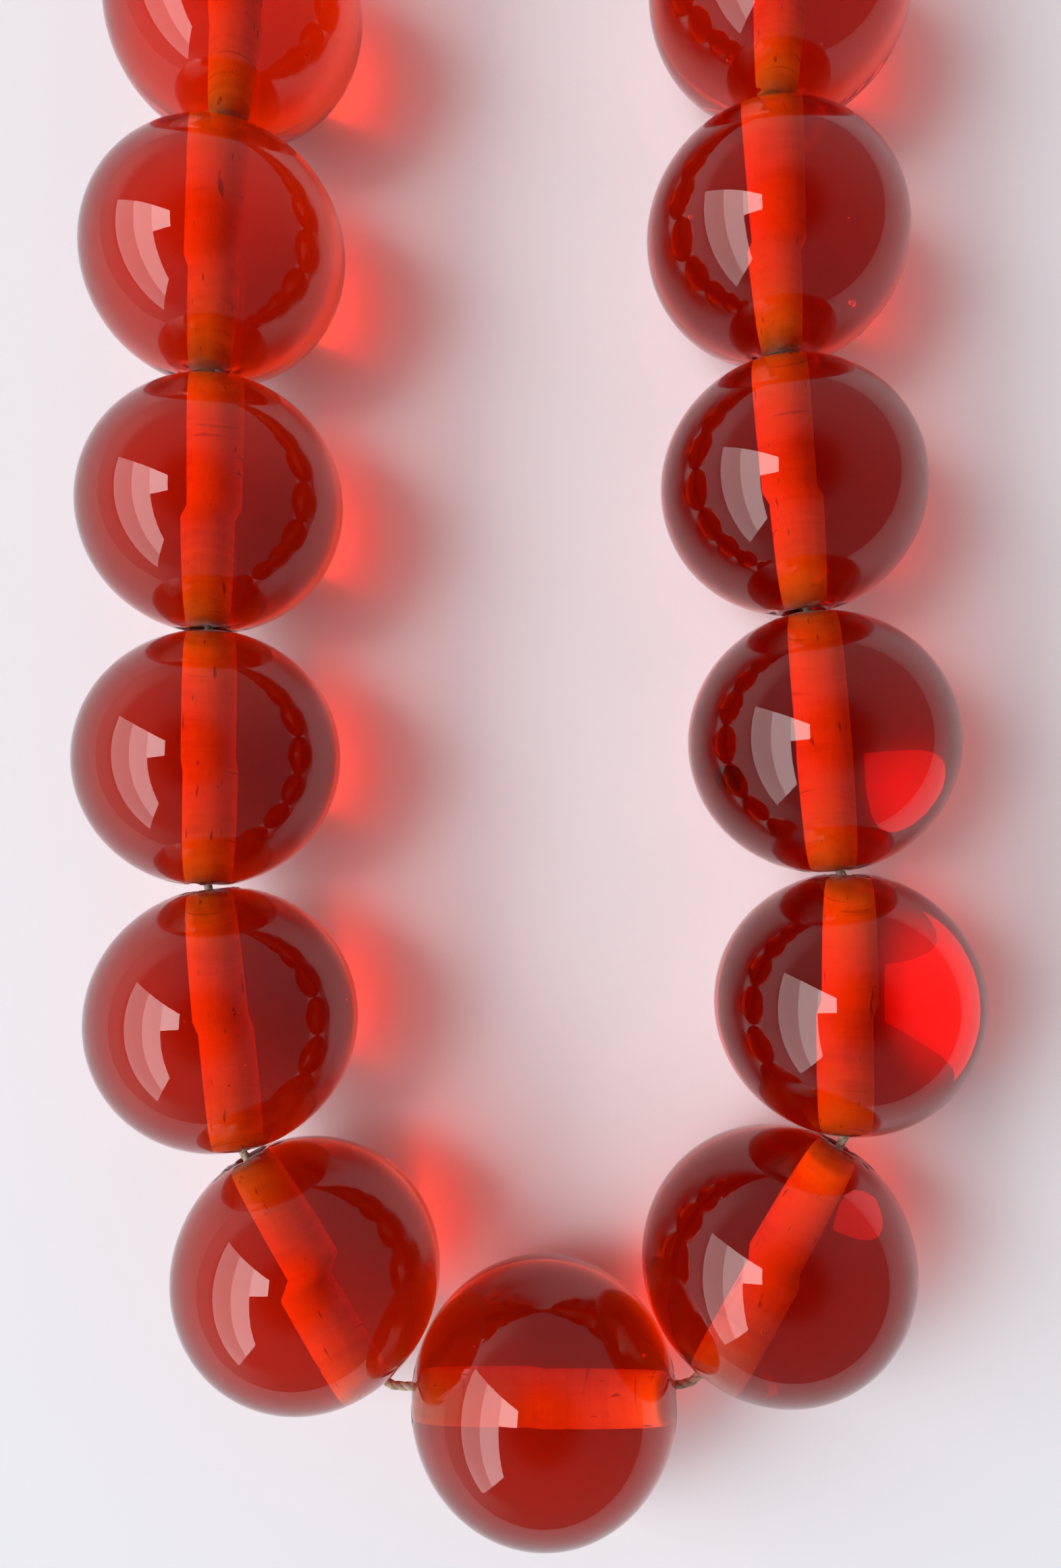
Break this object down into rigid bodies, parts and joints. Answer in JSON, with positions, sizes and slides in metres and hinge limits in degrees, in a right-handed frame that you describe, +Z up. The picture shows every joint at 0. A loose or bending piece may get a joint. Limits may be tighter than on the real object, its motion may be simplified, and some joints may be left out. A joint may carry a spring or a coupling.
{
  "type": "misbaha prayer beads",
  "caption": "Closed loop of large glossy red resin prayer beads strung on a twisted cord, with a turned leader bead, stopper bead, knot and tassel.",
  "frame": {"origin": "middle of the footprint on the table, below the beads", "axes": "+Z up from the table, +Y from the bottom bead along the loop to the leader bead and tassel, +X across the loop"},
  "size_m": [0.1198, 0.696, 0.0302],
  "materials": {
    "bead_resin": "polished transparent cherry-red resin with a rough bright orange bore",
    "cord_fibre": "twisted undyed natural fibre",
    "tassel_thread": "fine spun dark red thread with a soft sheen",
    "binding_thread": "undyed cord wound tight round the tassel"
  },
  "bodies": {
    "strand": {"cord": "cord_fibre", "cord_knot": "cord_fibre"},
    "bead_01": {"bead_01": "bead_resin"},
    "bead_02": {"bead_02": "bead_resin"},
    "bead_03": {"bead_03": "bead_resin"},
    "bead_04": {"bead_04": "bead_resin"},
    "bead_05": {"bead_05": "bead_resin"},
    "bead_06": {"bead_06": "bead_resin"},
    "bead_07": {"bead_07": "bead_resin"},
    "bead_08": {"bead_08": "bead_resin"},
    "bead_09": {"bead_09": "bead_resin"},
    "bead_10": {"bead_10": "bead_resin"},
    "bead_11": {"bead_11": "bead_resin"},
    "bead_12": {"bead_12": "bead_resin"},
    "bead_13": {"bead_13": "bead_resin"},
    "bead_14": {"bead_14": "bead_resin"},
    "bead_15": {"bead_15": "bead_resin"},
    "bead_16": {"bead_16": "bead_resin"},
    "bead_17": {"bead_17": "bead_resin"},
    "bead_18": {"bead_18": "bead_resin"},
    "bead_19": {"bead_19": "bead_resin"},
    "bead_20": {"bead_20": "bead_resin"},
    "bead_21": {"bead_21": "bead_resin"},
    "bead_22": {"bead_22": "bead_resin"},
    "bead_23": {"bead_23": "bead_resin"},
    "bead_24": {"bead_24": "bead_resin"},
    "bead_25": {"bead_25": "bead_resin"},
    "bead_26": {"bead_26": "bead_resin"},
    "bead_27": {"bead_27": "bead_resin"},
    "bead_28": {"bead_28": "bead_resin"},
    "bead_29": {"bead_29": "bead_resin"},
    "bead_30": {"bead_30": "bead_resin"},
    "bead_31": {"bead_31": "bead_resin"},
    "bead_32": {"bead_32": "bead_resin"},
    "bead_33": {"bead_33": "bead_resin"},
    "leader": {"leader_bead": "bead_resin"},
    "stopper": {"stopper_bead": "bead_resin"},
    "tassel": {"tassel_neck": "tassel_thread", "tassel_head": "tassel_thread", "tassel_binding": "binding_thread", "tassel_skirt": "tassel_thread"}
  },
  "joints": [
    {"name": "tassel_swing", "type": "hinge", "parent": "strand", "child": "tassel", "pos_m": [0.00801, 0.23592, 0.0115], "axis": [0, 0, 1], "range_deg": [-30, 30]},
    {"name": "bead_33_slide", "type": "slide", "parent": "strand", "child": "bead_33", "axis": [0.6691, 0.7431, 0], "range_m": [0, 0.016]},
    {"name": "leader_spin", "type": "hinge", "parent": "strand", "child": "leader", "pos_m": [0.00801, 0.18292, 0.0115], "axis": [0, 1, 0], "continuous": true},
    {"name": "stopper_spin", "type": "hinge", "parent": "strand", "child": "stopper", "pos_m": [0.00801, 0.22672, 0.0115], "axis": [0, 1, 0], "continuous": true},
    {"name": "bead_01_spin", "type": "hinge", "parent": "strand", "child": "bead_01", "pos_m": [0.02146, 0.11702, 0.01508], "axis": [-0.454, 0.891, 0], "continuous": true},
    {"name": "bead_02_spin", "type": "hinge", "parent": "strand", "child": "bead_02", "pos_m": [0.03251, 0.08968, 0.01488], "axis": [-0.2924, 0.9563, 0], "continuous": true},
    {"name": "bead_03_spin", "type": "hinge", "parent": "strand", "child": "bead_03", "pos_m": [0.03913, 0.06101, 0.0151], "axis": [-0.1736, 0.9848, 0], "continuous": true},
    {"name": "bead_04_spin", "type": "hinge", "parent": "strand", "child": "bead_04", "pos_m": [0.04272, 0.03178, 0.01498], "axis": [-0.0872, 0.9962, 0], "continuous": true},
    {"name": "bead_05_spin", "type": "hinge", "parent": "strand", "child": "bead_05", "pos_m": [0.04425, 0.0026, 0.01494], "axis": [-0.0349, 0.9994, 0], "continuous": true},
    {"name": "bead_06_spin", "type": "hinge", "parent": "strand", "child": "bead_06", "pos_m": [0.04476, -0.0267, 0.01512], "axis": [0, 1, 0], "continuous": true},
    {"name": "bead_07_spin", "type": "hinge", "parent": "strand", "child": "bead_07", "pos_m": [0.04374, -0.05599, 0.01489], "axis": [0.0523, 0.9986, 0], "continuous": true},
    {"name": "bead_08_spin", "type": "hinge", "parent": "strand", "child": "bead_08", "pos_m": [0.0417, -0.08512, 0.01504], "axis": [0.0872, 0.9962, 0], "continuous": true},
    {"name": "bead_09_spin", "type": "hinge", "parent": "strand", "child": "bead_09", "pos_m": [0.03864, -0.11426, 0.01505], "axis": [0.1045, 0.9945, 0], "continuous": true},
    {"name": "bead_10_spin", "type": "hinge", "parent": "strand", "child": "bead_10", "pos_m": [0.03559, -0.14325, 0.01489], "axis": [0.0872, 0.9962, 0], "continuous": true},
    {"name": "bead_11_spin", "type": "hinge", "parent": "strand", "child": "bead_11", "pos_m": [0.03354, -0.17248, 0.01511], "axis": [0.0349, 0.9994, 0], "continuous": true},
    {"name": "bead_12_spin", "type": "hinge", "parent": "strand", "child": "bead_12", "pos_m": [0.03303, -0.20187, 0.01494], "axis": [-0.0349, 0.9994, 0], "continuous": true},
    {"name": "bead_13_spin", "type": "hinge", "parent": "strand", "child": "bead_13", "pos_m": [0.03456, -0.23105, 0.01497], "axis": [-0.0872, 0.9962, 0], "continuous": true},
    {"name": "bead_14_spin", "type": "hinge", "parent": "strand", "child": "bead_14", "pos_m": [0.03763, -0.26026, 0.0151], "axis": [-0.0698, 0.9976, 0], "continuous": true},
    {"name": "bead_15_spin", "type": "hinge", "parent": "strand", "child": "bead_15", "pos_m": [0.04019, -0.28954, 0.01488], "axis": [0.0175, 0.9998, 0], "continuous": true},
    {"name": "bead_16_spin", "type": "hinge", "parent": "strand", "child": "bead_16", "pos_m": [0.03202, -0.31804, 0.01508], "axis": [0.4848, 0.8746, 0], "continuous": true},
    {"name": "bead_17_spin", "type": "hinge", "parent": "strand", "child": "bead_17", "pos_m": [0.00614, -0.33298, 0.015], "axis": [1, 0, 0], "continuous": true},
    {"name": "bead_18_spin", "type": "hinge", "parent": "strand", "child": "bead_18", "pos_m": [-0.02035, -0.31949, 0.01491], "axis": [-0.4848, 0.8746, 0], "continuous": true},
    {"name": "bead_19_spin", "type": "hinge", "parent": "strand", "child": "bead_19", "pos_m": [-0.03002, -0.2914, 0.01512], "axis": [-0.1219, 0.9925, 0], "continuous": true},
    {"name": "bead_20_spin", "type": "hinge", "parent": "strand", "child": "bead_20", "pos_m": [-0.03208, -0.262, 0.01491], "axis": [0, 1, 0], "continuous": true},
    {"name": "bead_21_spin", "type": "hinge", "parent": "strand", "child": "bead_21", "pos_m": [-0.03208, -0.23286, 0.01502], "axis": [0.0175, 0.9998, 0], "continuous": true},
    {"name": "bead_22_spin", "type": "hinge", "parent": "strand", "child": "bead_22", "pos_m": [-0.03208, -0.20347, 0.01507], "axis": [0.0349, 0.9994, 0], "continuous": true},
    {"name": "bead_23_spin", "type": "hinge", "parent": "strand", "child": "bead_23", "pos_m": [-0.03003, -0.17429, 0.01488], "axis": [0.0523, 0.9986, 0], "continuous": true},
    {"name": "bead_24_spin", "type": "hinge", "parent": "strand", "child": "bead_24", "pos_m": [-0.03055, -0.1449, 0.0151], "axis": [-0.0523, 0.9986, 0], "continuous": true},
    {"name": "bead_25_spin", "type": "hinge", "parent": "strand", "child": "bead_25", "pos_m": [-0.03362, -0.11566, 0.01496], "axis": [-0.1219, 0.9925, 0], "continuous": true},
    {"name": "bead_26_spin", "type": "hinge", "parent": "strand", "child": "bead_26", "pos_m": [-0.03768, -0.08682, 0.01495], "axis": [-0.1392, 0.9903, 0], "continuous": true},
    {"name": "bead_27_spin", "type": "hinge", "parent": "strand", "child": "bead_27", "pos_m": [-0.04125, -0.05772, 0.01511], "axis": [-0.1045, 0.9945, 0], "continuous": true},
    {"name": "bead_28_spin", "type": "hinge", "parent": "strand", "child": "bead_28", "pos_m": [-0.0438, -0.02857, 0.01489], "axis": [-0.0698, 0.9976, 0], "continuous": true},
    {"name": "bead_29_spin", "type": "hinge", "parent": "strand", "child": "bead_29", "pos_m": [-0.04482, 0.00066, 0.01506], "axis": [-0.0175, 0.9998, 0], "continuous": true},
    {"name": "bead_30_spin", "type": "hinge", "parent": "strand", "child": "bead_30", "pos_m": [-0.0443, 0.03011, 0.01503], "axis": [0.0698, 0.9976, 0], "continuous": true},
    {"name": "bead_31_spin", "type": "hinge", "parent": "strand", "child": "bead_31", "pos_m": [-0.04073, 0.05924, 0.0149], "axis": [0.1736, 0.9848, 0], "continuous": true},
    {"name": "bead_32_spin", "type": "hinge", "parent": "strand", "child": "bead_32", "pos_m": [-0.03308, 0.0878, 0.01512], "axis": [0.3584, 0.9336, 0], "continuous": true}
  ]
}
